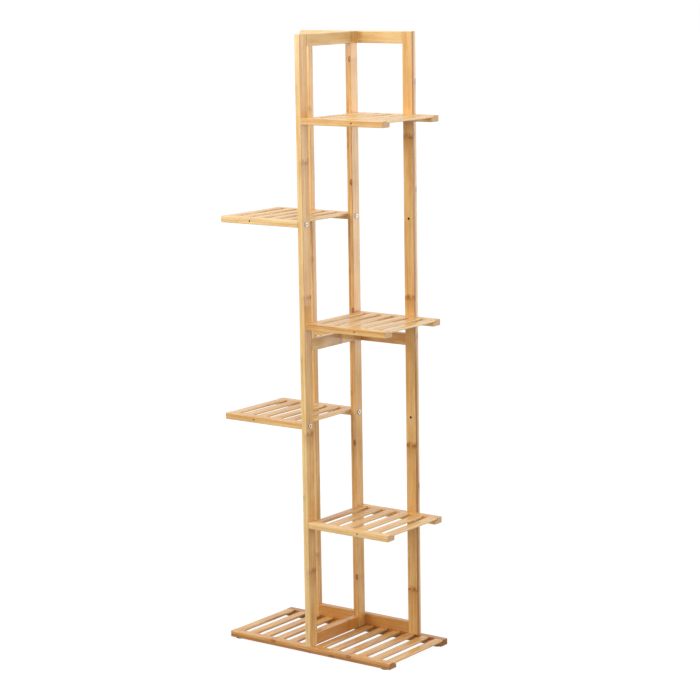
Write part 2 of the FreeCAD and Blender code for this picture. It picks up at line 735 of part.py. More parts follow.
shelf_screw = screw_pattern("shelf_screw_pattern", "long_screw_length", "stock_thick")
base_screw = screw_pattern("base_screw_pattern", "long_screw_length", "rail_height")
short_screw = screw_pattern("short_screw_pattern", "short_screw_length", "stock_thick")
shelf_screws()
side_post_screws()
frame_joining_screws()
base_screws()

# ------------------------------------------------------------------------------------------------
# Dowels and brads
# ------------------------------------------------------------------------------------------------


def pins(name, plane_role, centres, diameter, length, position, turned=False):
    """Parallel round pins that start on one plane."""
    body = doc.addObject("PartDesign::Body", name)
    sketch = new_sketch(body, name + "_centres", plane_role)
    draw_circles(sketch, centres, diameter)
    pad(body, name + "_pins", sketch, length, turned)
    place(body, position)
    return body


def frame_dowels():
    """Two glued dowels in every joint between a frame rail and a post."""
    length = "(dowel_in_post + dowel_in_rail)"
    front_start = ("0", f"({FRONT} + stock_wide - dowel_in_post)", BASE_TOP)
    back_start = ("0", f"({FRAME_BACK} - stock_wide - dowel_in_rail)", BASE_TOP)
    left_start = (f"(-{BETWEEN_SIDE_POSTS} / 2 - dowel_in_post)", BACK_FRAME_MIDDLE, BASE_TOP)
    right_start = (f"({BETWEEN_SIDE_POSTS} / 2 - dowel_in_rail)", BACK_FRAME_MIDDLE, BASE_TOP)
    joints = [
        ("front", DEPTH_RAILS, "XZ_Plane", front_start),
        ("back", DEPTH_RAILS, "XZ_Plane", back_start),
        ("left", BACK_RAILS, "YZ_Plane", left_start),
        ("right", BACK_RAILS, "YZ_Plane", right_start),
    ]
    rows = []
    for side, rails, plane_role, start in joints:
        centres = post_dowel_holes(rails, "0")
        turned = plane_role == "XZ_Plane"
        name = f"{side}_dowels"
        rows.append(pins(name, plane_role, centres, "dowel_diameter", length, start, turned))
    group("frame_dowels", rows)


def brad_rows(name, count, rail_length, low_x, underside, back, from_high_end=False):
    """The brads of one tier, flush with the undersides of its two rails."""
    rows = (BRAD_ROW, f"({back} - {FRONT} - {BRAD_ROW})")
    centres = [(x, y) for x in slat_middles(count, rail_length, from_high_end) for y in rows]
    length = f"({LEDGE} + brad_bite)"
    return pins(name, "XY_Plane", centres, "brad_diameter", length, (low_x, FRONT, underside))


def slat_brads():
    """One brad in each end of every slat."""
    rows = [brad_rows("base_brads", SLATS_IN_BASE, "base_length", BASE_LEFT, "pad_thick",
                      f"(-{FRONT})")]
    for index, side in enumerate(SHELF_SIDES):
        right = side == "right"
        low_x = POST_MIDDLE if right else f"(-{POST_MIDDLE} - shelf_length)"
        underside = f"({shelf_top(index)} - rail_height)"
        rows.append(brad_rows(f"shelf_{index + 1}_brads", SLATS_PER_SHELF, "shelf_length", low_x,
                              underside, FRAME_BACK, from_high_end=not right))
    group("slat_brads", rows)


frame_dowels()
slat_brads()

# ------------------------------------------------------------------------------------------------
# Check and export
# ------------------------------------------------------------------------------------------------

doc.recompute()


def check_document():
    """Stop if a feature failed, a pocket cut nothing or a node is not whole."""
    for item in doc.Objects:
        if "Invalid" in item.State or "Error" in item.State:
            raise RuntimeError(f"{item.Name} failed: {item.State}")
        if item.TypeId == "PartDesign::Pocket":
            if item.Shape.Volume >= item.BaseFeature.Shape.Volume - 1e-6:
                raise RuntimeError(f"{item.Name} cuts nothing")
    shelf_count = len(SHELF_SIDES)
    joint_count = 2 * len(DEPTH_RAILS) + 2 * len(BACK_RAILS)
    slat_count = SLATS_IN_BASE + SLATS_PER_SHELF * shelf_count
    expected = {
        "base_slats": SLATS_IN_BASE,
        "foot_pads": 4,
        "shelf_screws": 2 * shelf_count,
        "side_post_screws": shelf_count,
        "frame_joining_screws": len(BACK_RAILS),
        "base_screws": 3,
        "frame_dowels": 2 * joint_count,
        "slat_brads": 2 * slat_count,
    }
    for name, item in nodes.items():
        shape = item.Shape
        if shape.isNull() or not shape.isValid():
            raise RuntimeError(f"{name} has no valid shape")
        if len(shape.Solids) != expected.get(name, 1):
            raise RuntimeError(f"{name} has {len(shape.Solids)} solids")


check_document()
os.makedirs("parts", exist_ok=True)
for name, item in nodes.items():
    item.Shape.exportStep(f"parts/{name}.step")
solid_count = sum(len(item.Shape.Solids) for item in nodes.values())
print(len(nodes), "nodes,", solid_count, "solids")
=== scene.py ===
# Looks of the tiered plant stand: lacquered laminated bamboo, bright screws and black foot pads.
#
# The shapes are those of the frame. This script gives every node its material, and adds the floor,
# the lamps and the camera. Metres, in the frame's own directions: X along the base, Y from front to
# back, Z up.

import math

import bpy
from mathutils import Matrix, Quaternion, Vector


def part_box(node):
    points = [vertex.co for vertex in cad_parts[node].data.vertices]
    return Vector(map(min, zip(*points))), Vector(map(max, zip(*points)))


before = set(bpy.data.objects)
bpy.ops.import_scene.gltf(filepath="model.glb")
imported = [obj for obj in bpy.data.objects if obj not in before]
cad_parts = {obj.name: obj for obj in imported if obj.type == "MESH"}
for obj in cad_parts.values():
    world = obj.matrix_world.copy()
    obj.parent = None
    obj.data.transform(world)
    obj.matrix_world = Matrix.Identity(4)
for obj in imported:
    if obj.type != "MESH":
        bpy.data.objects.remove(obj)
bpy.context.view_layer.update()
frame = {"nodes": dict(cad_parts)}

MM = 0.001

# ------------------------------------------------------------------------------------------------
# Colours, as they look on a screen, from 0 to 255
# ------------------------------------------------------------------------------------------------


def colour(red, green, blue):
    """A screen colour as the linear light that a shader works in."""
    def linear(value):
        share = value / 255
        return share / 12.92 if share <= 0.04045 else ((share + 0.055) / 1.055) ** 2.4
    return (linear(red), linear(green), linear(blue), 1)


HONEY_PALE = colour(246, 212, 150)
HONEY = colour(232, 184, 114)
HONEY_DEEP = colour(208, 150, 78)
HONEY_DARK = colour(166, 104, 44)
AMBER = colour(206, 140, 62)
FIBRE = colour(150, 96, 46)
KNUCKLE = colour(142, 70, 18)
KNUCKLE_BAND = colour(168, 98, 34)
KNUCKLE_SHADE = colour(192, 134, 66)
END_GRAIN = colour(226, 186, 144)
END_GRAIN_DARK = colour(140, 78, 6)
END_GRAIN_DOTS = colour(140, 92, 60)
# Painted shade on the walls of open holes: two dark browns, mottled.
HOLE_PAINTED_SHADE = colour(44, 24, 12)
HOLE_PAINTED_SHADE_PALE = colour(92, 54, 28)
ZINC = colour(170, 170, 170)
ZINC_BRIGHT = colour(206, 203, 198)
# Painted shade in the screws' sockets.
SOCKET_PAINTED_SHADE = colour(30, 38, 52)
WIRE = colour(150, 150, 150)
WIRE_BRIGHT = colour(190, 190, 190)
HARDWOOD = colour(206, 172, 128)
HARDWOOD_PALE = colour(228, 200, 158)
RUBBER = colour(34, 33, 33)
RUBBER_PALE = colour(58, 56, 55)
WHITE = (1, 1, 1, 1)

# ------------------------------------------------------------------------------------------------
# Node trees
# ------------------------------------------------------------------------------------------------


class Tree:
    """A shader node tree, with short ways to add nodes and join them."""

    def __init__(self, tree):
        self.tree = tree

    def add(self, kind, inputs=(), **settings):
        """A node. Each input is a number, a tuple or the output socket of another node."""
        node = self.tree.nodes.new(kind)
        for name, value in settings.items():
            setattr(node, name, value)
        for key, value in dict(inputs).items():
            self.feed(node.inputs[key], value)
        return node

    def feed(self, socket, value):
        """Join an output to a socket, or set the socket."""
        if isinstance(value, bpy.types.NodeSocket):
            self.tree.links.new(value, socket)
        else:
            socket.default_value = value

    def math(self, operation, *values):
        """The output of a Math node."""
        return self.add("ShaderNodeMath", enumerate(values), operation=operation).outputs[0]

    def between(self, share, first, second):
        """A number that is first where share is 0 and second where it is 1."""
        return self.math("MULTIPLY_ADD", share, self.math("SUBTRACT", second, first), first)

    def vector(self, operation, *values):
        """The output of a Vector Math node: a number for LENGTH, and else a vector."""
        node = self.add("ShaderNodeVectorMath", enumerate(values), operation=operation)
        return node.outputs["Value" if operation == "LENGTH" else "Vector"]

    def place(self):
        """The shaded point, in metres."""
        return self.add("ShaderNodeTexCoord").outputs["Object"]

    def split(self, vector):
        """The three parts of a vector."""
        return self.add("ShaderNodeSeparateXYZ", {"Vector": vector}).outputs

    def join(self, x, y, z):
        """A vector from three parts."""
        return self.add("ShaderNodeCombineXYZ", {"X": x, "Y": y, "Z": z}).outputs[0]

    def mix(self, share, first, second):
        """A colour that is first where share is 0 and second where it is 1."""
        node = self.add("ShaderNodeMix", data_type="RGBA")
        self.feed(node.inputs["Factor"], share)
        colours = [socket for socket in node.inputs if socket.type == "RGBA"]
        self.feed(colours[0], first)
        self.feed(colours[1], second)
        return next(socket for socket in node.outputs if socket.type == "RGBA")

    def noise(self, vector, scale=1.0, detail=2.0):
        """The value of a noise texture, about 0 to 1 with its middle at a half."""
        inputs = {"Vector": vector, "Scale": scale, "Detail": detail}
        return self.add("ShaderNodeTexNoise", inputs).outputs[0]

    def step(self, value, low, high):
        """0 up to low, 1 from high on, and a soft rise between them. low may be above high."""
        inputs = {"Value": value, "From Min": low, "From Max": high}
        node = self.add("ShaderNodeMapRange", inputs, interpolation_type="SMOOTHSTEP")
        return node.outputs[0]

    def ramp(self, value, stops):
        """A colour from a scale of colours."""
        node = self.add("ShaderNodeValToRGB", {"Fac": value})
        elements = node.color_ramp.elements
        while len(elements) < len(stops):
            elements.new(1)
        for element, (position, stop_colour) in zip(elements, stops):
            element.position = position
            element.color = stop_colour
        return node.outputs[0]

    def bump(self, height, strength, distance):
        """A surface direction that follows a height."""
        inputs = {"Height": height, "Strength": strength, "Distance": distance}
        return self.add("ShaderNodeBump", inputs).outputs[0]

    def surface(self, inputs):
        """Send a Principled shader to the output."""
        shader = self.add("ShaderNodeBsdfPrincipled", inputs)
        self.add("ShaderNodeOutputMaterial", {"Surface": shader.outputs[0]})


def new_material(name):
    """An empty material and its tree."""
    material = bpy.data.materials.new(name)
    material.use_nodes = True
    material.node_tree.nodes.clear()
    return material, Tree(material.node_tree)


# ------------------------------------------------------------------------------------------------
# The pattern of bamboo
# ------------------------------------------------------------------------------------------------

PATTERN_INPUTS = {
    "Place": "Vector", "Facing": "Vector", "Half": "Float", "Ply": "Float", "Knuckle": "Float",
    "Smear": "Float", "Oval": "Float", "Seed": "Float", "Tone": "Float", "Edge": "Float",
    "Amber": "Float", "End": "Float"}
PATTERN_OUTPUTS = {
    "Colour": "Color", "Roughness": "Float", "Lacquer": "Float", "Height": "Float"}


class Stick:
    """The shaded point of a stick, inside the pattern.

    given holds the pattern's inputs. Place is the point on the stick, from its middle: along the
    grain, across its wide side and across its thin side. Facing is the surface's direction in the
    same three parts. Half is half the thickness, and Ply is 0 or 1. Knuckle is how far the point is
    past the nearest knuckle of its ply. Smear and Oval are how strongly the knuckles show on the
    broad and on the narrow side. Tone above 0 is paler, and Edge is added to it on the narrow side;
    on the slats Edge is a painted sheen that makes their narrow sides paler.
    Amber is how golden the wood is, and End how dark its cut ends are.
    """

    def __init__(self, tree):
        ply_seed_step = 31.7
        cut_end_range = (0.8, 0.97)
        narrow_side_range = (0.5, 0.9)
        self.tree = tree
        self.given = tree.add("NodeGroupInput").outputs
        self.along, self.wide, self.thin = tree.split(self.given["Place"])
        facing_along, facing_wide, _ = tree.split(self.given["Facing"])
        self.cut_end = tree.step(tree.math("ABSOLUTE", facing_along), *cut_end_range)
        self.narrow_side = tree.step(tree.math("ABSOLUTE", facing_wide), *narrow_side_range)
        self.seed = tree.math("MULTIPLY_ADD", self.given["Ply"], ply_seed_step, self.given["Seed"])

    def fibres(self, length, width, detail, shift):
        """Noise in streaks of about a length and a width, in millimetres.

        shift tells one noise of a stick from another.
        """
        tree = self.tree
        place = tree.join(tree.math("DIVIDE", self.along, length * MM),
                          tree.math("DIVIDE", self.wide, width * MM),
                          tree.math("DIVIDE", self.thin, width * MM))
        offset = tree.math("ADD", self.seed, shift)
        moved = tree.vector("ADD", place, tree.join(offset, offset, offset))
        return tree.noise(moved, detail=detail)

    def uneven(self, length, width, detail, shift):
        """The same noise, about 0."""
        mean = 0.5
        return self.tree.math("SUBTRACT", self.fibres(length, width, detail, shift), mean)


def wood_tone(stick, fine):
    """How pale the wood is, from 0 for dark to 1 for pale."""
    tree = stick.tree
    middle_tone = 0.5
    mean_noise = 0.5
    layers = (
        (stick.fibres(length=75, width=22, detail=2, shift=0), 0.60),
        (stick.fibres(length=130, width=3.2, detail=3, shift=5), 0.85),
        (fine, 0.35))
    mean_total = mean_noise * sum(share for _, share in layers)
    tone = tree.math("SUBTRACT", stick.given["Tone"], mean_total - middle_tone)
    for layer, share in layers:
        tone = tree.math("MULTIPLY_ADD", layer, share, tone)
    # Edge is added on the narrow side; on the slats it is a painted sheen.
    return tree.math("MULTIPLY_ADD", stick.narrow_side, stick.given["Edge"], tone)


def plain_wood(stick, fine, flecks):
    """The colour of the wood, with golden patches, dark flecks and the thin line of the glue."""
    tree = stick.tree
    tones = [(0.0, HONEY_DARK), (0.32, HONEY_DEEP), (0.60, HONEY), (1.0, HONEY_PALE)]
    golden_range = (0.0, 1.0)
    glue_range = (0.35 * MM, 0.12 * MM)
    glue_strength = 0.5
    base = tree.ramp(wood_tone(stick, fine), tones)
    patch = stick.uneven(length=60, width=16, detail=1, shift=23)
    golden = tree.step(tree.math("ADD", stick.given["Amber"], patch), *golden_range)
    grained = tree.mix(flecks, tree.mix(golden, base, AMBER), FIBRE)
    glue = tree.step(tree.math("ABSOLUTE", stick.thin), *glue_range)
    glue = tree.math("MULTIPLY", tree.math("MULTIPLY", glue, stick.narrow_side), glue_strength)
    return tree.mix(glue, grained, FIBRE)


def knuckle_shade(stick):
    """How much darker the wood is before a knuckle: more for knuckles that show more."""
    tree = stick.tree
    rise = (-45 * MM, 0.0)
    fall = (3 * MM, -1 * MM)
    least = 0.2
    most = 0.65
    past = stick.given["Knuckle"]
    shown = tree.between(stick.narrow_side, stick.given["Smear"], stick.given["Oval"])
    shade = tree.math("MULTIPLY", tree.step(past, *rise), tree.step(past, *fall))
    return tree.math("MULTIPLY", shade, tree.between(shown, least, most))


def knuckle_band(stick, gap):
    """The soft patchy band of a knuckle on the broad side."""
    tree = stick.tree
    patch_range = (0.34, 0.60)
    band_range = (9.0 * MM, 1.5 * MM)
    patches = tree.step(stick.fibres(length=9, width=5.5, detail=2, shift=37), *patch_range)
    band = tree.math("MULTIPLY", tree.step(gap, *band_range), patches)
    return tree.math("MULTIPLY", band, tree.math("SUBTRACT", 1.0, stick.narrow_side))


def knuckle_oval(stick, gap):
    """The oval of a knuckle on the narrow side, a little outside the middle of the ply.

    It is fainter in its middle.
    """
    tree = stick.tree
    half_length = 7.0 * MM
    half_width = 3.7 * MM
    share_of_half = 0.6
    rim = (1.1, 0.7)
    faint_middle = (-0.2, 0.7)
    from_centre = tree.math("SUBTRACT", tree.math("ABSOLUTE", stick.thin),
                            tree.math("MULTIPLY", stick.given["Half"], share_of_half))
    reach = tree.vector("LENGTH", tree.join(tree.math("DIVIDE", gap, half_length),
                                            tree.math("DIVIDE", from_centre, half_width), 0.0))
    oval = tree.math("MULTIPLY", tree.step(reach, *rim), tree.step(reach, *faint_middle))
    return tree.math("MULTIPLY", oval, stick.narrow_side)


def knuckled_wood(stick, wood):
    """The colour of the wood with its knuckles, and how much the point is in one."""
    tree = stick.tree
    given = stick.given
    fray_length = 9 * MM
    fray = tree.math("MULTIPLY", stick.uneven(length=6, width=1.6, detail=2, shift=29), fray_length)
    gap = tree.math("ABSOLUTE", tree.math("ADD", given["Knuckle"], fray))
    band = knuckle_band(stick, gap)
    oval = knuckle_oval(stick, gap)
    shaded = tree.mix(knuckle_shade(stick), wood, KNUCKLE_SHADE)
    banded = tree.mix(tree.math("MULTIPLY", band, given["Smear"]), shaded, KNUCKLE_BAND)
    knuckled = tree.mix(tree.math("MULTIPLY", oval, given["Oval"]), banded, KNUCKLE)
    mark = tree.math("MULTIPLY", tree.math("MAXIMUM", band, oval), given["Oval"])
    return knuckled, mark


def cut_wood(stick):
    """The colour of a cut end, dotted with the dark ends of the fibres."""
    tree = stick.tree
    dots_a_metre = 1100.0
    dot_range = (0.42, 0.22)
    dot_strength = 0.35
    cells = tree.add("ShaderNodeTexVoronoi", {"Vector": stick.given["Place"], "Scale": dots_a_metre})
    dots = tree.step(cells.outputs["Distance"], *dot_range)
    ground = tree.mix(stick.given["End"], END_GRAIN, END_GRAIN_DARK)
    return tree.mix(tree.math("MULTIPLY", dots, dot_strength), ground, END_GRAIN_DOTS)


def bamboo_pattern():
    """The looks of one stick of laminated bamboo, as a node group that all bamboo shares.

    The cut ends soak up the lacquer, so they are rougher.
    """
    fleck_range = (0.60, 0.74)
    fleck_strength = 0.34
    least_roughness = 0.30
    most_roughness = 0.46
    more_on_ends = 0.25
    side_lacquer = 0.5
    end_lacquer = 0.08
    knuckle_depth = -1.2
    group = bpy.data.node_groups.new("bamboo_pattern", "ShaderNodeTree")
    for direction, sockets in (("INPUT", PATTERN_INPUTS), ("OUTPUT", PATTERN_OUTPUTS)):
        for name, kind in sockets.items():
            group.interface.new_socket(name, in_out=direction, socket_type="NodeSocket" + kind)
    tree = Tree(group)
    stick = Stick(tree)
    fine = stick.fibres(length=24, width=0.65, detail=2, shift=11)
    fleck = tree.step(stick.fibres(length=8, width=0.42, detail=1, shift=17), *fleck_range)
    flecks = tree.math("MULTIPLY", fleck, fleck_strength)
    wood, mark = knuckled_wood(stick, plain_wood(stick, fine, flecks))
    roughness = tree.between(fine, least_roughness, most_roughness)
    height = tree.math("SUBTRACT", fine, flecks)
    tree.add("NodeGroupOutput", {
        "Colour": tree.mix(stick.cut_end, wood, cut_wood(stick)),
        "Roughness": tree.math("MULTIPLY_ADD", stick.cut_end, more_on_ends, roughness),
        "Lacquer": tree.between(stick.cut_end, side_lacquer, end_lacquer),
        "Height": tree.math("MULTIPLY_ADD", mark, knuckle_depth, height),
    })
    return group


# ------------------------------------------------------------------------------------------------
# Bamboo
# ------------------------------------------------------------------------------------------------

BAMBOO = bamboo_pattern()
NO_KNUCKLES = ((), ())
FAR_OFF = 1.0


def past_nearest_knuckle(tree, along, knuckles):
    """How far a point along a stick is past the nearest of its knuckles, below 0 before it.

    Without knuckles, it is as if the nearest were far off.
    """
    if not knuckles:
        return FAR_OFF
    nearest = tree.math("SUBTRACT", along, knuckles[0])
    for knuckle in knuckles[1:]:
        past = tree.math("SUBTRACT", along, knuckle)
        closer = tree.math("LESS_THAN", tree.math("ABSOLUTE", past),
                           tree.math("ABSOLUTE", nearest))
        nearest = tree.between(closer, nearest, past)
    return nearest


def bamboo(name, low, high, seed, plies=2, knuckles=NO_KNUCKLES, tone=0.0, ply_tone=0.0,
           edges=(0.0, 0.0), amber=0.0, end=0.0, smear=0.5, ovals=(0.8, 0.8)):
    """Laminated bamboo for one stick that fills the box from low to high.

    The grain runs along the longest side of the box, and the plies lie on each other across the
    shortest. knuckles holds the places of each ply's knuckles along the grain. tone above 0 is paler
    and below 0 darker, and ply_tone is added for the second ply. edges holds what is added to the
    tone on the narrow sides of the first and the second ply; on the slats it is a painted sheen
    that makes their narrow sides paler. amber makes the wood more golden, and end makes its cut
    ends darker. smear is how strongly the knuckles show on the broad sides, and ovals on the
    narrow sides of the first and the second ply.
    """
    size = high - low
    middle = (low + high) / 2
    axes = sorted(range(3), key=lambda axis: -size[axis])
    grain_axis, _, thin_axis = axes
    material, tree = new_material(name)
    coordinates = tree.add("ShaderNodeTexCoord").outputs
    place = tree.split(tree.vector("SUBTRACT", coordinates["Object"], tuple(middle)))
    normal = tree.split(coordinates["Normal"])
    ply = tree.math("GREATER_THAN", place[thin_axis], 0.0) if plies == 2 else 0.0
    past_first, past_second = (
        past_nearest_knuckle(tree, place[grain_axis], [spot - middle[grain_axis] for spot in row])
        for row in knuckles)
    pattern = tree.add("ShaderNodeGroup", node_tree=BAMBOO)
    values = {
        "Place": tree.join(*(place[axis] for axis in axes)),
        "Facing": tree.join(*(normal[axis] for axis in axes)),
        "Half": size[thin_axis] / 2,
        "Ply": ply,
        "Knuckle": tree.between(ply, past_first, past_second),
        "Smear": smear,
        "Oval": tree.between(ply, *ovals),
        "Seed": seed,
        "Tone": tree.between(ply, tone, tone + ply_tone),
        "Edge": tree.between(ply, *edges),
        "Amber": amber,
        "End": end,
    }
    for key, value in values.items():
        tree.feed(pattern.inputs[key], value)
    tree.surface({
        "Base Color": pattern.outputs["Colour"],
        "Roughness": pattern.outputs["Roughness"],
        "Specular IOR Level": 0.18,
        "Coat Weight": pattern.outputs["Lacquer"],
        "Coat Roughness": 0.12,
        "Normal": tree.bump(pattern.outputs["Height"], strength=0.25, distance=0.12 * MM),
    })
    return material


def drilled_bamboo():
    """The walls of drilled holes: rough, with painted shade that makes them dark."""
    material, tree = new_material("drilled_bamboo")
    # Painted shade: a dark mottle in place of the shade inside the holes.
    hole_shade_mottle = tree.noise(tree.place(), scale=900.0, detail=3)
    tree.surface({"Base Color": tree.mix(hole_shade_mottle, HOLE_PAINTED_SHADE, HOLE_PAINTED_SHADE_PALE), "Roughness": 0.8})
    return material


# ------------------------------------------------------------------------------------------------
# Screws, dowels, brads and pads
# ------------------------------------------------------------------------------------------------


def bright_zinc():
    """Zinc plating, faintly mottled, with painted shade where the metal is shut in, as in the
    sockets: dark and not metallic there.
    """
    material, tree = new_material("bright_zinc")
    shut_in_range = (0.92, 0.62)
    mottle = tree.noise(tree.place(), scale=1400.0, detail=3)
    openness = tree.add("ShaderNodeAmbientOcclusion", {"Distance": 2.5 * MM}, samples=12)
    # Painted shade: ambient occlusion makes the sockets and other shut-in places dark and not
    # metallic.
    shut_in = tree.step(openness.outputs["AO"], *shut_in_range)
    plating = tree.mix(mottle, ZINC, ZINC_BRIGHT)
    tree.surface({
        "Base Color": tree.mix(shut_in, plating, SOCKET_PAINTED_SHADE),
        "Metallic": tree.math("SUBTRACT", 1.0, shut_in),
        "Roughness": tree.between(mottle, 0.40, 0.56),
        "Normal": tree.bump(mottle, strength=0.1, distance=0.05 * MM),
    })
    return material


def wire_steel():
    """Drawn wire, scratched along its length, for the brads."""
    material, tree = new_material("wire_steel")
    scratches_a_metre = (3000.0, 3000.0, 200.0)
    scratches = tree.noise(tree.vector("MULTIPLY", tree.place(), scratches_a_metre))
    tree.surface({
        "Base Color": tree.mix(scratches, WIRE, WIRE_BRIGHT),
        "Metallic": 1.0,
        "Roughness": tree.between(scratches, 0.3, 0.5),
    })
    return material


def dowel_wood():
    """Plain turned hardwood."""
    material, tree = new_material("dowel_wood")
    grain = tree.noise(tree.place(), scale=500.0, detail=4)
    tree.surface({"Base Color": tree.mix(grain, HARDWOOD, HARDWOOD_PALE), "Roughness": 0.7})
    return material


def pad_rubber():
    """Matt black foam rubber, with a fine open grain."""
    material, tree = new_material("pad_rubber")
    cells = tree.noise(tree.place(), scale=2200.0, detail=3)
    tree.surface({
        "Base Color": tree.mix(cells, RUBBER, RUBBER_PALE),
        "Roughness": tree.between(cells, 0.68, 0.88),
        "Normal": tree.bump(cells, strength=0.5, distance=0.1 * MM),
    })
    return material


# ------------------------------------------------------------------------------------------------
# Which piece has which material
# ------------------------------------------------------------------------------------------------

# Places of the knuckles in millimetres, up the posts and along the rails: those of the ply on the
# low side first.
KNUCKLES = {
    "front_mid_post": ((60, 330, 610, 880, 1150), (173, 456, 733, 1002)),
    "back_mid_post": ((253, 512, 767, 1022), (124, 410, 686, 948, 1195)),
    "back_left_post": ((148, 470, 780, 1092), (310, 640, 950, 1210)),
    "back_right_post": ((112, 415, 719, 1043), (330, 640, 937, 1151)),
    "base_front_rail": ((58,), (-90, 102)),
    "back_frame_top_rail": ((14,), (-90,)),
    "depth_frame_middle_rail": ((-40,), (16,)),
    "depth_frame_bottom_rail": ((-60,), (30,)),
}

# How a piece differs from plain bamboo. Other pieces are plain.
# The rails at the bottom and the base rails are darker and more golden, with darker cut ends:
# partly the wood's own tone, partly painted shade towards the bottom of the stand.
OWN_LOOK = {
    "front_mid_post": {"tone": 0.10, "ply_tone": -0.04, "edges": (0.24, 0.24), "smear": 0.7,
                       "ovals": (0.1, 0.1), "end": 0.15},
    "back_mid_post": {"tone": 0.02, "ply_tone": 0.06, "edges": (-0.14, -0.06), "smear": 0.1,
                      "ovals": (0.35, 0.95)},
    "back_left_post": {"tone": 0.17, "edges": (-0.18, -0.18), "smear": 0.4, "ovals": (0.25, 0.25)},
    "back_right_post": {"tone": 0.12, "edges": (-0.7, 0.15), "amber": 0.10, "smear": 0.9,
                        "ovals": (0.7, 0.7), "end": 0.2},
    "back_frame_top_rail": {"tone": 0.30, "amber": 0.12, "smear": 0.3, "ovals": (0.6, 0.6)},
    "back_frame_middle_rail": {"amber": 0.2},
    "back_frame_bottom_rail": {"tone": -0.15, "amber": 0.55, "end": 0.5},
    "depth_frame_top_rail": {"tone": 0.50, "amber": 0.3},
    "depth_frame_middle_rail": {"tone": 0.40, "amber": 0.25, "smear": 0.7},
    "depth_frame_bottom_rail": {"tone": -0.16, "amber": 0.55, "end": 0.5},
    "base_front_rail": {"tone": -0.60, "ply_tone": 0.48, "amber": 0.35, "end": 0.68, "smear": 0.6},
    "base_back_rail": {"tone": -0.70, "ply_tone": 0.04, "amber": 0.35, "end": 0.88},
    "shelf_1_front_rail": {"tone": 0.06, "ply_tone": 0.08, "edges": (0.2, 0.2)},
    "shelf_1_back_rail": {"edges": (0.14, 0.14)},
    "shelf_2_front_rail": {"tone": 0.10, "ply_tone": -0.06, "amber": 0.06},
    "shelf_2_back_rail": {"edges": (0.2, 0.2)},
    "shelf_3_front_rail": {"tone": 0.16, "ply_tone": -0.14, "edges": (-0.16, -0.16), "amber": 0.2},
    "shelf_3_back_rail": {"edges": (0.2, 0.2)},
    "shelf_4_front_rail": {"tone": 0.08, "ply_tone": 0.06, "edges": (0.26, 0.26)},
    "shelf_5_front_rail": {"tone": 0.06, "ply_tone": -0.04, "amber": 0.08},
    "shelf_5_back_rail": {"edges": (0.3, 0.3)},
    "shelf_1_slat_1": {"tone": -0.22, "edges": (0.3, 0.3)},
    "shelf_1_slat_2": {"tone": -0.12},
    # The shelf 2 slats carry the strongest painted sheen on their narrow sides.
    "shelf_2_slat_1": {"tone": -0.02, "edges": (1.1, 1.1)},
    "shelf_2_slat_2": {"tone": -0.16, "edges": (1.2, 1.2)},
    "shelf_2_slat_3": {"edges": (0.9, 0.9)},
    "shelf_2_slat_4": {"tone": -0.10, "edges": (1.1, 1.1)},
    "shelf_2_slat_5": {"tone": -0.08, "edges": (0.9, 0.9)},
}
# Painted sheen: edges makes the narrow sides of the slats paler.
SHELF_SLAT_LOOK = {"tone": 0.02, "edges": (0.55, 0.55)}
BASE_SLAT_LOOK = {"tone": -0.05, "edges": (0.1, 0.1), "amber": 0.15}

# Each stick's noise is this far from that of the next.
SEED_STEP = 10.0
BASE_SLAT_SEED = 700.0
BASE_SLATS = 12


def dress(node, material):
    """Give a whole node one material."""
    obj = frame["nodes"][node]
    obj.data.materials.clear()
    obj.data.materials.append(material)
    return obj


def paint(obj, material, belongs):
    """Give the faces whose middle passes a test a material of their own."""
    obj.data.materials.append(material)
    for face in obj.data.polygons:
        if belongs(face.center):
            face.material_index = len(obj.data.materials) - 1


def in_drilled_hole(low, high):
    """A test for points deeper inside a stick than its rounded edges reach."""
    depth = 0.9 * MM

    def test(point):
        return all(low[axis] + depth < point[axis] < high[axis] - depth for axis in range(3))
    return test


def in_pilot_hole(low, high):
    """A test for points in the unused pilot hole in the front of a shelf's front rail."""
    skin = 0.1 * MM
    hole_radius = 1.9 * MM
    hole_from_middle = 128 * MM
    hole_x = math.copysign(hole_from_middle, low.x + high.x)
    hole_z = (low.z + high.z) / 2

    def test(point):
        reach = math.hypot(point.x - hole_x, point.z - hole_z)
        return reach < hole_radius and point.y > low.y + skin
    return test


def dress_sticks():
    """Give every post, rail and shelf slat bamboo of its own, and the walls of their open holes
    painted shade.
    """
    drilled = drilled_bamboo()
    for number, name in enumerate(frame["nodes"], 1):
        low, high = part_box(name)
        seed = SEED_STEP * number
        look = OWN_LOOK.get(name, {})
        if "_slat_" in name:
            look = {**SHELF_SLAT_LOOK, **look}
            dress(name, bamboo(name, low, high, seed, plies=1, **look))
        elif name.endswith(("_post", "_rail")):
            rows = [[spot * MM for spot in row] for row in KNUCKLES.get(name, NO_KNUCKLES)]
            stick = dress(name, bamboo(name, low, high, seed, knuckles=rows, **look))
            if name.endswith("_post"):
                paint(stick, drilled, in_drilled_hole(low, high))
            if name.startswith("shelf_") and name.endswith("_front_rail"):
                paint(stick, drilled, in_pilot_hole(low, high))


def dress_base_slats():
    """Give each base slat bamboo of its own. They share one node."""
    slats = frame["nodes"]["base_slats"]
    slats.data.materials.clear()
    low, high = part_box("base_slats")
    like_low, like_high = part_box("shelf_1_slat_1")
    width = like_high.x - like_low.x
    pitch = (high.x - low.x - width) / (BASE_SLATS - 1)
    for index in range(BASE_SLATS):
        slat_low = Vector((low.x + index * pitch, low.y, low.z))
        slat_high = Vector((slat_low.x + width, high.y, high.z))
        seed = BASE_SLAT_SEED + SEED_STEP * index
        name = f"base_slat_{index + 1}"
        slats.data.materials.append(
            bamboo(name, slat_low, slat_high, seed, plies=1, **BASE_SLAT_LOOK))
    for face in slats.data.polygons:
        face.material_index = min(int((face.center.x - low.x) / pitch), BASE_SLATS - 1)


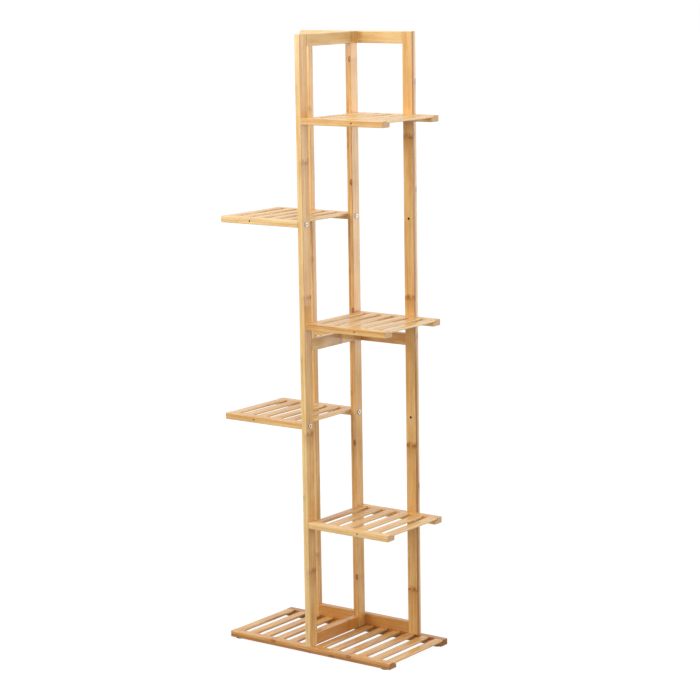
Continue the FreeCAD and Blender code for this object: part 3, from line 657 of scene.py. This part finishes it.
def dress_fasteners():
    """Give the screws, brads, dowels and pads their materials."""
    zinc = bright_zinc()
    for name in ("shelf_screws", "side_post_screws", "frame_joining_screws", "base_screws"):
        dress(name, zinc)
    dress("slat_brads", wire_steel())
    dress("frame_dowels", dowel_wood())
    dress("foot_pads", pad_rubber())


# ------------------------------------------------------------------------------------------------
# Floor, light and camera
# ------------------------------------------------------------------------------------------------


def seen_directly(tree):
    """1 for what the camera sees, also in a mirror or through glass, and 0 for light."""
    rays = tree.add("ShaderNodeLightPath").outputs
    straight = tree.math("MAXIMUM", rays["Is Camera Ray"], rays["Is Glossy Ray"])
    return tree.math("MAXIMUM", straight, rays["Is Transmission Ray"])


def floor_material():
    """White that keeps a faint shadow near the stand, and bounces little light onto it."""
    material, tree = new_material("white_floor")
    seen_grey = (0.95, 0.95, 0.95, 1)
    bounce_grey = (0.4, 0.4, 0.4, 1)
    white_strength = 1.06
    shadow_share = 0.12
    shadow_full = 0.5
    shadow_end = 1.2
    direct = seen_directly(tree)
    lit = tree.add("ShaderNodeBsdfDiffuse", {"Color": tree.mix(direct, bounce_grey, seen_grey)})
    plain = tree.add("ShaderNodeEmission", {"Color": WHITE, "Strength": white_strength})
    near = tree.step(tree.vector("LENGTH", tree.place()), shadow_end, shadow_full)
    lit_share = tree.math("MULTIPLY", near, shadow_share)
    plain_share = tree.math("MULTIPLY", direct, tree.math("SUBTRACT", 1.0, lit_share))
    blend = tree.add("ShaderNodeMixShader", {0: plain_share, 1: lit.outputs[0], 2: plain.outputs[0]})
    tree.add("ShaderNodeOutputMaterial", {"Surface": blend.outputs[0]})
    return material


def white_floor():
    """A wide floor under the stand."""
    half = 30.0
    corners = [(-half, -half, 0), (half, -half, 0), (half, half, 0), (-half, half, 0)]
    mesh = bpy.data.meshes.new("floor")
    mesh.from_pydata(corners, [], [(0, 1, 2, 3)])
    mesh.materials.append(floor_material())
    floor = bpy.data.objects.new("floor", mesh)
    bpy.context.scene.collection.objects.link(floor)


def white_surroundings(light_level):
    """A white world, which lights the stand at a lower level than it shows."""
    world = bpy.data.worlds.new("studio")
    bpy.context.scene.world = world
    world.use_nodes = True
    world.node_tree.nodes.clear()
    tree = Tree(world.node_tree)
    strength = tree.between(seen_directly(tree), light_level, 1.0)
    light = tree.add("ShaderNodeBackground", {"Color": WHITE, "Strength": strength})
    tree.add("ShaderNodeOutputWorld", {"Surface": light.outputs[0]})


def softbox(name, place, aim, size, brightness):
    """A rectangular lamp that looks at a point. A brightness of 1 is that of white paper."""
    width, height = size
    lamp = bpy.data.lights.new(name, "AREA")
    lamp.shape = "RECTANGLE"
    lamp.size = width
    lamp.size_y = height
    lamp.energy = brightness * math.pi * width * height
    holder = bpy.data.objects.new(name, lamp)
    holder.location = place
    holder.rotation_mode = "QUATERNION"
    holder.rotation_quaternion = (Vector(aim) - Vector(place)).to_track_quat("-Z", "Y")
    holder.visible_camera = False
    bpy.context.scene.collection.objects.link(holder)


def photo_camera():
    """The photograph's viewpoint: a long lens, a little above the stand and to its right."""
    place = Vector((2.68598, -3.57126, 1.40284))
    aim = Vector((0, 0.05580, 0.60437))
    roll = math.radians(-0.862)
    data = bpy.data.cameras.new("camera")
    data.sensor_width = 36
    data.lens = 115.24
    camera = bpy.data.objects.new("camera", data)
    camera.location = place
    camera.rotation_mode = "QUATERNION"
    turn = Quaternion((0, 0, 1), roll)
    camera.rotation_quaternion = (aim - place).to_track_quat("-Z", "Y") @ turn
    bpy.context.scene.collection.objects.link(camera)
    bpy.context.scene.camera = camera


dress_sticks()
dress_base_slats()
dress_fasteners()
white_floor()
white_surroundings(light_level=0.38)
softbox("key", place=(-1.9, -2.6, 1.9), aim=(0, 0, 1.0), size=(1.8, 1.8), brightness=5.4)
softbox("top", place=(0.2, -0.9, 3.2), aim=(0, 0, 0.6), size=(2.0, 2.0), brightness=3.2)
softbox("back", place=(1.9, 2.5, 1.0), aim=(0, 0, 0.9), size=(1.8, 1.9), brightness=3.4)
softbox("fill", place=(2.6, -2.2, 2.2), aim=(0, 0, 0.9), size=(1.6, 1.6), brightness=2.65)
photo_camera()
bpy.context.scene.view_settings.view_transform = "Standard"
